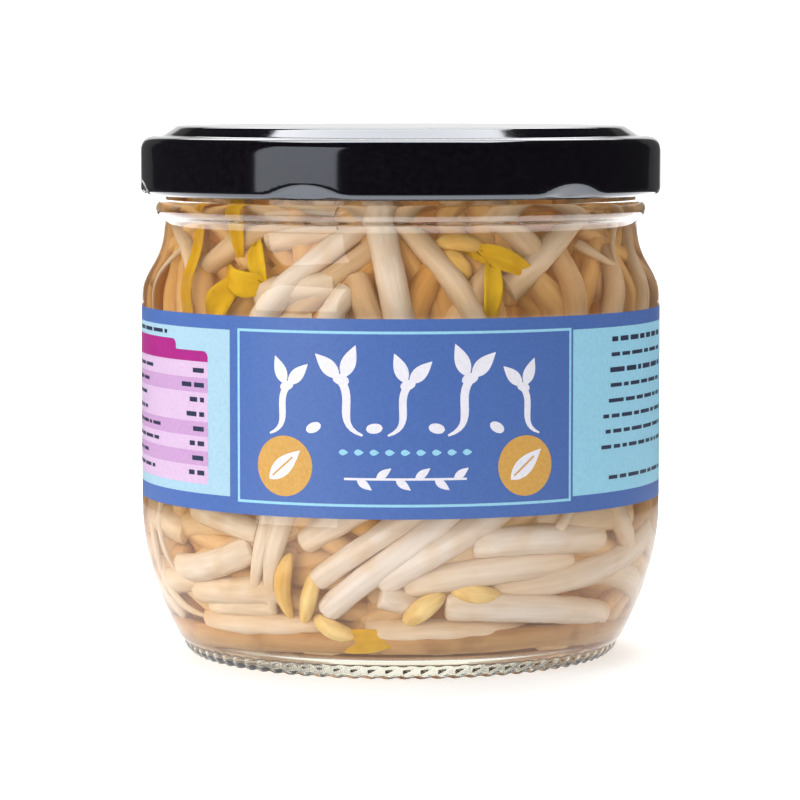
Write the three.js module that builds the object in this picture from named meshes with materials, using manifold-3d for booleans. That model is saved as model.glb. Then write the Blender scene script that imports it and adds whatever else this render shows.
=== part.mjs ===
// A jar of bean sprouts in brine, closed with a twist-off lid.
// Millimetres, +Z up. The origin is the centre of the jar's base on the surface it stands on,
// and the middle of the label faces -Y. An azimuth is in degrees from -Y towards +X.

import * as THREE from 'three';
import { mergeVertices } from 'three/addons/utils/BufferGeometryUtils.js';
import Module from 'manifold-3d';

const wasm = await Module();
wasm.setup();

// Driving dimensions

const turnSteps = 36;            // flats round each turned piece
const pieceGap = 0.3;            // clearance between neighbouring pieces

const jar = {
  bearingRadius: 34.7,           // outer edge of the ring that it stands on
  bearingWidth: 1.6,
  pushUp: 2.2,                   // hollow under the base
  bodyRadius: 42.3,
  wall: 2.4,
  floorHeight: 4.2,
  heelTop: 24.1,
  shoulderBottom: 57.9,
  neckBottom: 70.5,
  neckRadius: 38.6,
  beadRadius: 40.0,
  beadHeight: 72.5,
  beadHalfHeight: 1.5,
  finishRadius: 38.4,            // outside of the mouth, under the lid
  rimHeight: 82.1,
};

const label = { bottom: 26.0, top: 56.8, outerRadius: 42.35, thickness: 0.3 };
const panelMargin = 0.4;         // glass recess past each edge of the label

const lid = {
  bottom: 74.8,
  skirtRadius: 42.4,
  shoulderHeight: 84.2,
  panelRadius: 36.6,
  top: 85.9,
  sheet: 0.6,
  curl: 1.7,                     // width of the rolled lower edge
};

const thread = {
  starts: 6,
  firstAzimuth: 39.5,            // middle of one lug with the lid shut
  lugHalfWidth: 9,               // degrees
  lugInnerRadius: 38.8,
  lugTop: 77.0,
  ridgeOuterRadius: 39.8,
  ridgeBefore: 12,               // degrees of ridge on the shut side of the lug
  ridgeAfter: 22,                // degrees of ridge on the opening side
  ridgeHeight: 1.8,
  risePerDegree: 0.03,
};

const seal = { innerRadius: 36.2, outerRadius: 39.4, thickness: 1.0 };

const brine = { skin: 0.9, fillHeight: 79.5 };

const tangle = {
  wallDistance: 2 * pieceGap + brine.skin + 0.5,  // clears the liquid's skin where it slopes
  coreDepth: 3.2,                // how far the core lies behind the outermost sprouts
  bottom: 6.2,
  top: 76,
  coreSteps: 20,
  mergeDistance: 0.15,           // corners closer to a flat or an edge than this are dropped
};

// Outlines: [radius, height] points, up the outside and down the inside

function arc(start, startPull, endPull, end, steps) {
  const points = [start, startPull, endPull, end].map(([r, z]) => new THREE.Vector2(r, z));
  return new THREE.CubicBezierCurve(...points).getPoints(steps).map(({ x, y }) => [x, y]);
}

const innerBodyRadius = jar.bodyRadius - jar.wall;
const boreRadius = jar.finishRadius - jar.wall;

const innerHeel = arc(
  [jar.bearingRadius - 4.2, jar.floorHeight],
  [jar.bearingRadius + 1.3, jar.floorHeight],
  [innerBodyRadius, jar.heelTop - 10],
  [innerBodyRadius, jar.heelTop],
  4,
);

const innerShoulder = arc(
  [innerBodyRadius, jar.shoulderBottom],
  [innerBodyRadius, jar.shoulderBottom + 5],
  [boreRadius, jar.neckBottom - 7],
  [boreRadius, jar.neckBottom],
  4,
);

function jarOutline() {
  const { bearingRadius, bearingWidth, bodyRadius, heelTop, shoulderBottom, neckBottom } = jar;
  const { neckRadius, beadRadius, beadHeight, beadHalfHeight, finishRadius, rimHeight } = jar;
  const recessRadius = label.outerRadius - label.thickness - pieceGap;
  const outerHeel = arc(
    [bearingRadius, 0],
    [bearingRadius + 4.9, 8],
    [bodyRadius, heelTop - 7.6],
    [bodyRadius, heelTop],
    5,
  );
  const outerShoulder = arc(
    [bodyRadius, shoulderBottom],
    [bodyRadius, shoulderBottom + 5.4],
    [neckRadius, neckBottom - 7.3],
    [neckRadius, neckBottom],
    5,
  );
  const bead = [-0.9, -0.4, 0.4, 0.9].map((level) => [
    neckRadius + (beadRadius - neckRadius) * Math.sqrt(1 - level * level),
    beadHeight + level * beadHalfHeight,
  ]);
  const rim = 1.0;
  return [
    [0, jar.pushUp],
    [bearingRadius - bearingWidth - 2.6, jar.pushUp - 0.7],
    [bearingRadius - bearingWidth, 0],
    ...outerHeel,
    [bodyRadius, label.bottom - panelMargin - 0.5],
    [recessRadius, label.bottom - panelMargin],
    [recessRadius, label.top + panelMargin],
    ...outerShoulder,
    ...bead,
    [finishRadius, beadHeight + beadHalfHeight],
    [finishRadius, rimHeight - rim],
    [finishRadius - 0.35, rimHeight - 0.3],
    [finishRadius - rim, rimHeight],
    [boreRadius + 0.6, rimHeight],
    [boreRadius, rimHeight - 0.6],
    ...innerShoulder.toReversed(),
    ...innerHeel.toReversed(),
    [0, jar.floorHeight + 0.9],
  ];
}

function lidOutline() {
  const { bottom, skirtRadius, shoulderHeight, panelRadius, top, sheet, curl } = lid;
  const outer = [
    [skirtRadius - 1.2, bottom],
    [skirtRadius - 0.6, bottom + 0.4],
    [skirtRadius - 0.4, bottom + 1.2],
    [skirtRadius - 0.3, bottom + 2.6],
    [skirtRadius, bottom + 5],
    [skirtRadius, shoulderHeight - 2.4],
    [skirtRadius - 0.35, shoulderHeight - 1.3],
    [skirtRadius - 1.1, shoulderHeight - 0.4],
    [skirtRadius - 2.2, shoulderHeight],
    [panelRadius + 1.9, shoulderHeight],
    [panelRadius, top - 0.15],
    [panelRadius - 0.9, top],
  ];
  const inner = [
    [panelRadius - 1.1, top - sheet],
    [panelRadius - 0.4, top - sheet - 0.15],
    [panelRadius + 1.5, shoulderHeight - sheet],
    [skirtRadius - 2.3, shoulderHeight - sheet],
    [skirtRadius - sheet - 0.5, shoulderHeight - 1.5],
    [skirtRadius - sheet, shoulderHeight - 2.6],
    [skirtRadius - sheet, bottom + 4.8],
    [skirtRadius - sheet - 0.3, bottom + 1.9],
    [skirtRadius - 0.6 - curl, bottom + 1.5],
    [skirtRadius - 0.6 - curl, bottom + 0.5],
  ];
  return [...outer, [0, top], [0, top - sheet], ...inner, outer[0]];
}

function sealOutline() {
  const underLid = lid.shoulderHeight - lid.sheet - pieceGap;
  const { innerRadius, outerRadius, thickness } = seal;
  return [
    [innerRadius, underLid - thickness],
    [outerRadius, underLid - thickness],
    [outerRadius, underLid - 0.3],
    [outerRadius - 0.4, underLid],
    [innerRadius + 0.4, underLid],
    [innerRadius, underLid - 0.3],
    [innerRadius, underLid - thickness],
  ];
}

function labelOutline() {
  const { bottom, top, outerRadius, thickness } = label;
  const innerRadius = outerRadius - thickness;
  return [
    [innerRadius, bottom],
    [outerRadius, bottom],
    [outerRadius, top],
    [innerRadius, top],
    [innerRadius, bottom],
  ];
}

// The jar's inside moved in by a distance: the liquid's skin and the space for the sprouts
function insetWall(distance) {
  return [
    ...innerHeel.map(([r, z]) => [r - distance, z + distance]),
    ...innerShoulder.map(([r, z]) => [r - distance, z]),
  ];
}

function brineOutline() {
  const skin = insetWall(pieceGap);
  const hole = insetWall(pieceGap + brine.skin);
  const floor = jar.floorHeight + 0.9 + pieceGap;
  return [
    [0, floor],
    ...skin,
    [skin.at(-1)[0], brine.fillHeight],
    [hole.at(-1)[0], brine.fillHeight],
    ...hole.toReversed(),
    [0, floor + 0.6],
  ];
}

// Solids

function turned(outline, steps = turnSteps) {
  const points = outline.map(([r, z]) => new THREE.Vector2(r, z));
  return new THREE.LatheGeometry(points, steps).rotateX(Math.PI / 2);
}

function toManifold(geometry) {
  const bare = new THREE.BufferGeometry();
  bare.setAttribute('position', geometry.getAttribute('position'));
  bare.setIndex(geometry.getIndex());
  const merged = mergeVertices(bare, 1e-4);
  const corners = merged.getIndex().array;
  const triangles = [];
  for (let i = 0; i < corners.length; i += 3) {
    const [a, b, c] = corners.slice(i, i + 3);
    if (a !== b && b !== c && c !== a) triangles.push(a, b, c);
  }
  return new wasm.Manifold(new wasm.Mesh({
    numProp: 3,
    vertProperties: merged.getAttribute('position').array,
    triVerts: Uint32Array.from(triangles),
  }));
}

function toGeometry(manifold) {
  const { vertProperties, triVerts } = manifold.getMesh();
  const geometry = new THREE.BufferGeometry();
  geometry.setAttribute('position', new THREE.BufferAttribute(vertProperties, 3));
  geometry.setIndex(new THREE.BufferAttribute(triVerts, 1));
  geometry.computeVertexNormals();
  return geometry;
}

// The skin round the whole solid, without the hollows that joining seals in it
function outerSkin(manifold) {
  return manifold.decompose().reduce((a, b) => (a.volume() > b.volume() ? a : b));
}

// Rings of equally many points become one closed skin with a fan over each end
function loft(rings) {
  const sides = rings[0].length;
  const centre = (ring) => ring.reduce((sum, p) => sum.add(p), new THREE.Vector3())
    .divideScalar(sides);
  const points = [...rings.flat(), centre(rings[0]), centre(rings.at(-1))];
  const startCentre = points.length - 2;
  const endCentre = points.length - 1;
  const lastRing = (rings.length - 1) * sides;
  const triangles = [];
  for (let side = 0; side < sides; side += 1) {
    const next = (side + 1) % sides;
    for (let base = 0; base < lastRing; base += sides) {
      triangles.push(base + side, base + next, base + sides + next);
      triangles.push(base + side, base + sides + next, base + sides + side);
    }
    triangles.push(startCentre, next, side);
    triangles.push(endCentre, lastRing + side, lastRing + next);
  }
  const geometry = new THREE.BufferGeometry().setFromPoints(points);
  geometry.setIndex(triangles);
  return geometry;
}

function place(radius, azimuth, z) {
  const angle = THREE.MathUtils.degToRad(azimuth);
  return new THREE.Vector3(radius * Math.sin(angle), -radius * Math.cos(angle), z);
}

// A stretch of ring whose section climbs like a screw thread
function sector(section, fromAzimuth, toAzimuth, zeroAzimuth, steps = 5) {
  const rings = [];
  for (let step = 0; step <= steps; step += 1) {
    const azimuth = THREE.MathUtils.lerp(fromAzimuth, toAzimuth, step / steps);
    const climb = (azimuth - zeroAzimuth) * thread.risePerDegree;
    rings.push(section.toReversed().map(([r, z]) => place(r, azimuth, z + climb)));
  }
  return toManifold(loft(rings));
}

function lugAzimuths() {
  const pitch = 360 / thread.starts;
  return Array.from({ length: thread.starts }, (_, i) => thread.firstAzimuth + i * pitch);
}

function jarGeometry() {
  const under = thread.lugTop + pieceGap;
  const root = jar.finishRadius - 0.5;
  const section = [
    [root, under],
    [thread.ridgeOuterRadius, under],
    [thread.ridgeOuterRadius, under + thread.ridgeHeight - 1],
    [root, under + thread.ridgeHeight],
  ];
  let glass = toManifold(turned(jarOutline()));
  for (const azimuth of lugAzimuths()) {
    const from = azimuth - thread.ridgeBefore;
    const to = azimuth + thread.ridgeAfter;
    glass = glass.add(sector(section, from, to, azimuth));
  }
  return toGeometry(glass);
}

function lidGeometry() {
  const half = thread.lugHalfWidth;
  const lugSection = [
    [thread.lugInnerRadius, thread.lugTop - 1.3],
    [lid.skirtRadius - 0.7, thread.lugTop - 1.3],
    [lid.skirtRadius - 0.7, thread.lugTop],
    [thread.lugInnerRadius, thread.lugTop],
  ];
  const dentSection = [
    [lid.skirtRadius - 0.65, lid.bottom + 0.5],
    [lid.skirtRadius + 1, lid.bottom + 0.5],
    [lid.skirtRadius + 1, thread.lugTop - 0.2],
    [lid.skirtRadius - 0.65, thread.lugTop - 0.2],
  ];
  let shell = toManifold(turned(lidOutline()));
  for (const azimuth of lugAzimuths()) {
    shell = shell.add(sector(lugSection, azimuth - half, azimuth + half, azimuth, 3));
    shell = shell.subtract(sector(dentSection, azimuth - half + 1, azimuth + half - 1, azimuth, 3));
  }
  return toGeometry(shell);
}

// The sprouts. Each lies along the wall of the jar from one [azimuth, height] to another.
// bow: sideways bend; size: [width, thickness]; sunk: depth behind the wall at start, middle, end

const middleRadius = innerBodyRadius - 4;      // of the sprouts' centre lines, round the body

const kinds = {
  stem: { sides: 5, steps: 4, swell: (t) => (t === 0 || t === 1 ? 0.86 : 1) },
  root: { sides: 5, steps: 4, swell: (t) => 1 - 0.68 * t },
  half: { sides: 5, steps: 3, swell: (t) => 0.18 + 0.82 * Math.sin(Math.PI * t) },
  leaf: { sides: 4, steps: 3, swell: (t) => 0.16 + 0.84 * Math.sin(Math.PI * t ** 0.8) },
  hiddenStem: { sides: 4, steps: 3, swell: () => 1 },
};

const frontSprouts = [
  // against the shoulder, left to right
  { kind: 'stem', from: [-86, 71], to: [-60, 61], bow: 1, size: [4.0, 4.0], sunk: [3, 1.2, 2] },
  { kind: 'root', from: [-67, 67], to: [-78, 54], bow: -2, size: [1.7, 1.7], sunk: [2, 0.3, 3] },
  { kind: 'leaf', from: [-64, 73], to: [-55, 51], bow: 0.6, size: [3.0, 1.3], sunk: [3, 0.1, 2.6] },
  { kind: 'stem', from: [-58, 62], to: [-30, 73], bow: 1, size: [4.6, 4.4], sunk: [2.4, 1.4, 2.4] },
  { kind: 'leaf', from: [-47, 77], to: [-45, 64], bow: 0.3, size: [3.0, 1.3], sunk: [3, 0.4, 2.8] },
  { kind: 'leaf', from: [-41, 68], to: [-34, 60], bow: 0.5, size: [3.2, 1.4], sunk: [2.6, 0.2, 2] },
  { kind: 'leaf', from: [-33, 61], to: [-48, 63], bow: 0.7, size: [3.4, 1.4], sunk: [1.8, 0.1, 2.6] },
  { kind: 'leaf', from: [-52, 56], to: [-41, 62], bow: -0.6, size: [4.2, 1.4], sunk: [3, 0.6, 2.4] },
  { kind: 'stem', from: [-47, 48], to: [-11, 73], bow: 0.6, size: [4.2, 4.2], sunk: [3, 0.1, 2.2] },
  { kind: 'stem', from: [-35, 53], to: [-5, 71], bow: -0.4, size: [3.9, 3.9], sunk: [3, 1.4, 2.8] },
  { kind: 'stem', from: [-24, 54], to: [-11, 63], bow: 0, size: [4.0, 4.0], sunk: [3, 0.9, 2] },
  { kind: 'stem', from: [-10, 62], to: [-3, 51], bow: 0, size: [3.9, 3.9], sunk: [1.8, 1, 3] },
  { kind: 'stem', from: [-7, 77], to: [4, 47], bow: -0.5, size: [4.6, 4.4], sunk: [2.2, 0, 3] },
  { kind: 'stem', from: [-1, 73], to: [26, 48], bow: 0.6, size: [3.7, 3.7], sunk: [3, 0.6, 3] },
  { kind: 'half', from: [9, 67.8], to: [23, 66.4], bow: 0.8, size: [3.4, 2.6], sunk: [2, 0.2, 2] },
  { kind: 'half', from: [11, 66.6], to: [17, 61.5], bow: 0.4, size: [3.6, 2.8], sunk: [2.2, 1, 2.4] },
  { kind: 'stem', from: [11, 55], to: [25, 64], bow: 0, size: [3.7, 3.7], sunk: [3, 1.5, 2.6] },
  { kind: 'leaf', from: [18, 66.5], to: [34, 61.6], bow: 0.8, size: [3.6, 1.4], sunk: [1.6, 0, 2] },
  { kind: 'leaf', from: [23, 65], to: [21, 55], bow: -0.5, size: [2.8, 1.3], sunk: [1.2, 0.2, 2.6] },
  { kind: 'stem', from: [22, 75], to: [40, 63], bow: 0.5, size: [4.8, 4.4], sunk: [2.8, 0.8, 2.2] },
  { kind: 'stem', from: [56, 74], to: [27, 60], bow: 0.4, size: [4.3, 4.2], sunk: [2.8, 0.3, 2.8] },
  { kind: 'stem', from: [44, 69], to: [46, 48], bow: 0.5, size: [4.3, 4.2], sunk: [2.8, 1.2, 3] },
  { kind: 'root', from: [74, 75], to: [63, 61], bow: -1, size: [2.2, 2.0], sunk: [2.6, 0.2, 1] },
  { kind: 'root', from: [53, 67], to: [67, 62], bow: -0.8, size: [2.2, 2.0], sunk: [2.6, 0.3, 2] },
  { kind: 'stem', from: [67, 66], to: [49, 48], bow: 0.5, size: [3.9, 3.9], sunk: [2.4, 0.6, 3] },
  { kind: 'stem', from: [83, 74], to: [68, 47], bow: 0.5, size: [4.1, 4.1], sunk: [2.8, 0.7, 3] },
  // against the heel, left to right
  { kind: 'root', from: [-83, 24], to: [-80, 9], bow: 2.2, size: [3.0, 3.0], sunk: [2.6, 0.4, 2.6] },
  { kind: 'root', from: [-73, 27], to: [-66, 14], bow: -1.4, size: [2.2, 2.0], sunk: [2.8, 0.2, 2] },
  { kind: 'root', from: [-79, 17], to: [-62, 9], bow: -2, size: [3.2, 3.0], sunk: [2.6, 0.5, 2.4] },
  { kind: 'stem', from: [-68, 16.4], to: [-38, 20.4], bow: -1.4, size: [4.4, 4.2], sunk: [2.2, 0.2, 1.6] },
  { kind: 'stem', from: [-59, 25], to: [-36, 22.6], bow: 0.4, size: [3.4, 3.4], sunk: [2.8, 0.8, 1.6] },
  { kind: 'stem', from: [-61, 8.6], to: [-21, 9.0], bow: -0.4, size: [3.9, 3.8], sunk: [2.4, 0.8, 2.4] },
  { kind: 'root', from: [-32, 27], to: [-40, 11], bow: 0.6, size: [3.4, 3.2], sunk: [2.8, 0.2, 1.8] },
  { kind: 'root', from: [-25, 31], to: [-35, 8], bow: -0.8, size: [4.4, 4.2], sunk: [3, 0.1, 2] },
  { kind: 'half', from: [-27, 20], to: [-29, 9.6], bow: -0.6, size: [3.2, 2.8], sunk: [1.8, 0, 2] },
  { kind: 'half', from: [-21, 17.6], to: [-26, 8.8], bow: 0.6, size: [3.0, 2.8], sunk: [2, 0.2, 2] },
  { kind: 'half', from: [-22, 10.8], to: [-10, 7.4], bow: -1.0, size: [3.6, 3.0], sunk: [1.8, 0, 2] },
  { kind: 'leaf', from: [-18, 7.2], to: [1, 8.2], bow: -0.3, size: [3.6, 1.4], sunk: [1.8, 0.3, 2.2] },
  { kind: 'stem', from: [-24, 21.6], to: [9, 32], bow: 0.3, size: [3.8, 3.8], sunk: [2.2, 0.7, 3] },
  { kind: 'stem', from: [-21, 15.8], to: [18, 32], bow: 0.3, size: [3.5, 3.5], sunk: [1.4, 0.2, 3] },
  { kind: 'stem', from: [-19, 11.2], to: [23, 31], bow: 0.3, size: [4.1, 4.0], sunk: [1.0, 0, 3] },
  { kind: 'stem', from: [-5, 15.6], to: [36, 30], bow: 0.4, size: [4.1, 4.0], sunk: [0.8, 0.1, 3] },
  { kind: 'stem', from: [-5, 14.0], to: [6, 12.2], bow: 0, size: [4.0, 4.0], sunk: [0.2, 1.6, 4] },
  { kind: 'half', from: [1, 9.4], to: [11, 14.2], bow: 0.3, size: [3.9, 3.0], sunk: [1.8, 0, 1.8] },
  { kind: 'half', from: [12, 15.2], to: [26, 13.6], bow: -0.5, size: [3.7, 3.0], sunk: [1.8, 0.1, 2] },
  { kind: 'stem', from: [17, 21.6], to: [57, 20.8], bow: 0.6, size: [4.5, 4.4], sunk: [0.8, 0.2, 2.6] },
  { kind: 'stem', from: [1, 15.6], to: [46, 18], bow: 0.8, size: [4.4, 4.2], sunk: [2, 0.4, 2.6] },
  { kind: 'stem', from: [23, 15], to: [84, 21], bow: -1.6, size: [4.4, 4.2], sunk: [3, 0.5, 2.4] },
  { kind: 'stem', from: [11, 12.2], to: [67, 8.8], bow: 0.5, size: [4.6, 4.4], sunk: [0.8, 0.2, 2.4] },
  { kind: 'stem', from: [-9, 9.2], to: [35, 8.4], bow: 0.3, size: [4.0, 3.9], sunk: [2, 1, 2.6] },
  { kind: 'root', from: [37, 21], to: [48, 28], bow: 0.8, size: [2.2, 2.0], sunk: [2.6, 0.1, 2.6] },
  { kind: 'stem', from: [54, 28], to: [70, 17], bow: 0.6, size: [3.9, 3.8], sunk: [2.8, 0.5, 2.2] },
  { kind: 'stem', from: [52, 16.6], to: [86, 11], bow: 0.8, size: [4.3, 4.2], sunk: [2.8, 0.6, 2.6] },
];

// A small seeded generator, so that the back of the jar is the same each time
function seededDraw(seed) {
  let state = seed;
  return (low, high) => {
    state = (state * 1103515245 + 12345) % 2147483648;
    return low + (high - low) * (state / 2147483648);
  };
}

// Bands of sprouts: round the back, crossing at all angles above and lying flatter below, and
// all round behind the label
const bands = [
  { start: 92, end: 268, middle: 65, spread: 3, length: [20, 27], tilt: [35, 145], count: 15 },
  { start: -92, end: 268, middle: 41, spread: 5, length: [24, 32], tilt: [15, 165], count: 15 },
  { start: 92, end: 268, middle: 17, spread: 5, length: [22, 32], tilt: [-35, 35], count: 17 },
];
const besideStem = [
  { kind: 'leaf', size: [3.4, 1.4] },
  null,
  { kind: 'half', size: [3.7, 3.0] },
];

function bandSprouts() {
  const draw = seededDraw(20);
  const sprouts = [];
  bands.forEach(({ start, end, middle, spread, length, tilt, count }, band) => {
    const slot = (end - start) / count;
    for (let i = 0; i < count; i += 1) {
      const azimuth = start + slot * (i + draw(0.2, 0.8));
      const z = middle + draw(-spread, spread);
      const angle = THREE.MathUtils.degToRad(draw(...tilt));
      const reach = draw(...length) / 2;
      const across = THREE.MathUtils.radToDeg((reach * Math.cos(angle)) / middleRadius);
      const up = reach * Math.sin(angle);
      const width = draw(3.6, 4.6);
      sprouts.push({
        kind: 'hiddenStem',
        from: [azimuth - across, z - up],
        to: [azimuth + across, z + up],
        bow: draw(-1.6, 1.6),
        size: [width, width],
        sunk: [2.6, draw(0.1, 1.1), 2.6],
      });
      if (besideStem[band] && i % 3 === 1) {
        const side = azimuth + draw(5, 8);
        const lean = draw(2, 8);
        const path = { from: [side, z - 3], to: [side + lean, z + 4], bow: 0.5, sunk: [2, 0.2, 2] };
        sprouts.push({ ...besideStem[band], ...path });
      }
    }
  });
  return sprouts;
}

// Radius of the space for the sprouts at a height, from the inset wall's points
const spaceWall = insetWall(tangle.wallDistance);

function spaceRadius(z) {
  const above = spaceWall.findIndex((point) => point[1] >= z);
  if (above === 0) return spaceWall[0][0];
  if (above === -1) return spaceWall.at(-1)[0];
  const [r0, z0] = spaceWall[above - 1];
  const [r1, z1] = spaceWall[above];
  return r0 + ((r1 - r0) * (z - z0)) / (z1 - z0);
}

function sproutPoint({ from, to, bow, size, sunk }, t) {
  const [startAzimuth, startZ] = from;
  const [endAzimuth, endZ] = to;
  const run = THREE.MathUtils.degToRad(endAzimuth - startAzimuth) * middleRadius;
  const rise = endZ - startZ;
  const length = Math.hypot(run, rise);
  const bend = bow * 4 * t * (1 - t);
  const azimuth = startAzimuth + (endAzimuth - startAzimuth) * t
    - THREE.MathUtils.radToDeg((bend * rise) / length / middleRadius);
  const lowest = tangle.bottom + size[0] / 2;
  const z = Math.max(lowest, startZ + rise * t + (bend * run) / length);
  const depth = sunk[0] * (1 - t) * (1 - 2 * t) + sunk[1] * 4 * t * (1 - t) + sunk[2] * t * (2 * t - 1);
  return place(spaceRadius(z) - size[1] / 2 - Math.max(depth, 0), azimuth, z);
}

// A flat-sided sprout along a path, widest along its own side of the surface that it lies on
function sproutSolid({ kind, size }, pathPoint, surfaceNormal) {
  const { sides, steps, swell } = kinds[kind];
  const rings = [];
  for (let step = 0; step <= steps; step += 1) {
    const t = step / steps;
    const point = pathPoint(t);
    const along = pathPoint(Math.min(1, t + 0.02)).sub(pathPoint(Math.max(0, t - 0.02))).normalize();
    const across = new THREE.Vector3().crossVectors(surfaceNormal(point), along).normalize();
    const through = new THREE.Vector3().crossVectors(along, across);
    const halfWidth = (size[0] / 2) * swell(t);
    const halfThickness = (size[1] / 2) * (kind === 'leaf' ? Math.max(swell(t), 0.6) : swell(t));
    const ring = [];
    for (let side = 0; side < sides; side += 1) {
      const angle = (2 * Math.PI * (side + 0.5)) / sides;
      ring.push(point.clone()
        .addScaledVector(across, halfWidth * Math.cos(angle))
        .addScaledVector(through, halfThickness * Math.sin(angle)));
    }
    rings.push(ring);
  }
  return toManifold(loft(rings));
}

function wallSprout(sprout) {
  const outward = ({ x, y }) => new THREE.Vector3(x, y, 0).normalize();
  return sproutSolid(sprout, (t) => sproutPoint(sprout, t), outward);
}

// Straight sprouts lying across the top: [azimuth, azimuth] of the two ends and the height
const topSprouts = [
  [12, 118, 76.2],
  [205, 75, 76.6],
  [-20, 215, 76.0],
  [-62, 60, 76.4],
  [150, -85, 77.0],
  [238, 330, 76.3],
];

function topSprout([startAzimuth, endAzimuth, z]) {
  const radius = boreRadius - tangle.wallDistance - 2.4;
  const start = place(radius, startAzimuth, z - 0.6);
  const end = place(radius, endAzimuth, z + 0.6);
  const up = new THREE.Vector3(0, 0, 1);
  const stem = { kind: 'hiddenStem', size: [4.2, 4.0] };
  return sproutSolid(stem, (t) => start.clone().lerp(end, t), () => up);
}

// Close-packed sprouts behind the outermost ones
function coreSolid() {
  const levels = [tangle.bottom, 9, 14, 22, 40, 58, 63, 68, tangle.top];
  const outline = levels.map((z) => [spaceRadius(z) - tangle.coreDepth, z]);
  const core = [[0, tangle.bottom], ...outline, [0, tangle.top]];
  return toManifold(turned(core, tangle.coreSteps));
}

function sproutsGeometry() {
  const wallSprouts = [...frontSprouts, ...bandSprouts()].map(wallSprout);
  const whole = wasm.Manifold.union([coreSolid(), ...wallSprouts, ...topSprouts.map(topSprout)]);
  return toGeometry(outerSkin(whole.simplify(tangle.mergeDistance)));
}

// The jar as a scene graph

const finishes = {
  glass: { color: '#dfe8e4', roughness: 0.03, metalness: 0, transparent: true, opacity: 0.35 },
  lacqueredSteel: { color: '#15151a', roughness: 0.18, metalness: 0.3 },
  sealCompound: { color: '#d9d5cc', roughness: 0.6, metalness: 0 },
  paper: { color: '#5270b8', roughness: 0.45, metalness: 0 },
  liquid: { color: '#c99a62', roughness: 0.05, metalness: 0, transparent: true, opacity: 0.35 },
  sprout: { color: '#e2cdb0', roughness: 0.5, metalness: 0 },
};

function piece(name, geometry, finish) {
  const mesh = new THREE.Mesh(geometry, new THREE.MeshStandardMaterial(finishes[finish]));
  mesh.name = name;
  return mesh;
}

const jarOfSprouts = new THREE.Group();
jarOfSprouts.add(
  piece('glass_jar', jarGeometry(), 'glass'),
  piece('label', turned(labelOutline()), 'paper'),
  piece('brine', turned(brineOutline()), 'liquid'),
  piece('sprouts', sproutsGeometry(), 'sprout'),
);

const closure = new THREE.Group();
closure.add(
  piece('lid_seal', turned(sealOutline()), 'sealCompound'),
  piece('lid', lidGeometry(), 'lacqueredSteel'),
);
jarOfSprouts.add(closure);

export default jarOfSprouts;
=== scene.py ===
import bpy
from math import atan2, ceil, cos, degrees, dist, hypot, pi, radians, sin, sqrt
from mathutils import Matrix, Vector


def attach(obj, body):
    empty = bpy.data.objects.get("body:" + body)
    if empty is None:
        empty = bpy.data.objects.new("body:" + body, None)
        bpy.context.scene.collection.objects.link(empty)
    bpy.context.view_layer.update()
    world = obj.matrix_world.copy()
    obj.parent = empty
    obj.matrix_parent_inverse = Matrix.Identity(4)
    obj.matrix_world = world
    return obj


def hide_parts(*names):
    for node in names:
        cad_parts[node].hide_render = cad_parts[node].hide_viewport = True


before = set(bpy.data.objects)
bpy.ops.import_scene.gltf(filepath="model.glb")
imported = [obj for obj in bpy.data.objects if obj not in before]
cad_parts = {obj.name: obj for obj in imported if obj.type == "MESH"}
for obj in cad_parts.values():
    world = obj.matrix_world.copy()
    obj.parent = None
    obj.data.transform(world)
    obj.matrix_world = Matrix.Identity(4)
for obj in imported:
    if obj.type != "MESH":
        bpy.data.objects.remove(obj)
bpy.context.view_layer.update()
bpy.ops.object.select_all(action="DESELECT")  # the CAD nodes come in selected
bpy.context.scene.view_settings.view_transform = "Standard"
mm = 0.001


# colours and nodes

def linearColour(code):
    def toLinear(part):
        value = int(part, 16) / 255
        return value / 12.92 if value <= 0.04045 else ((value + 0.055) / 1.055) ** 2.4
    return (*[toLinear(code[i:i + 2]) for i in (1, 3, 5)], 1.0)


def setInputs(node, inputs):
    # an input is a plain value, a socket, or a node, which gives its first output
    for name, value in inputs.items():
        if isinstance(value, bpy.types.Node):
            value = value.outputs[0]
        if isinstance(value, bpy.types.NodeSocket):
            node.id_data.links.new(value, node.inputs[name])
        else:
            node.inputs[name].default_value = value


def addNode(tree, kind, inputs=None, **settings):
    node = tree.nodes.new("ShaderNode" + kind)
    for name, value in settings.items():
        setattr(node, name, value)
    setInputs(node, inputs or {})
    return node


def startMaterial(name, values):
    material = bpy.data.materials.new(name)
    material.use_nodes = True
    tree = material.node_tree
    shader = tree.nodes["Principled BSDF"]
    setInputs(shader, values)
    return material, tree, shader


def mottle(tree, size, detail, reach, codes):
    # noise of a size in mm that shades one colour into another
    where = addNode(tree, "TexCoord").outputs["Object"]
    noise = addNode(tree, "TexNoise", {
        "Vector": where, "Scale": 1 / (size * mm), "Detail": detail})
    shade = addNode(tree, "MapRange", {0: noise, 1: reach[0], 2: reach[1]})
    first, second = [linearColour(code) for code in codes]
    mix = addNode(tree, "Mix", {0: shade, 6: first, 7: second}, data_type="RGBA")
    return noise, mix.outputs[2]


def letLightIn(tree, shader, tint):
    # lamps shine straight in, as they do through a real thin wall
    path = addNode(tree, "LightPath")
    clear = addNode(tree, "BsdfTransparent", {"Color": tint})
    mix = addNode(tree, "MixShader", {0: path.outputs["Is Shadow Ray"], 1: shader, 2: clear})
    setInputs(tree.nodes["Material Output"], {"Surface": mix})


# shapes

def radiusAt(outline, z):
    for (r0, z0), (r1, z1) in zip(outline, outline[1:]):
        if z <= z1:
            return r0 + (r1 - r0) * max(0, z - z0) / (z1 - z0)
    return outline[-1][0]


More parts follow.
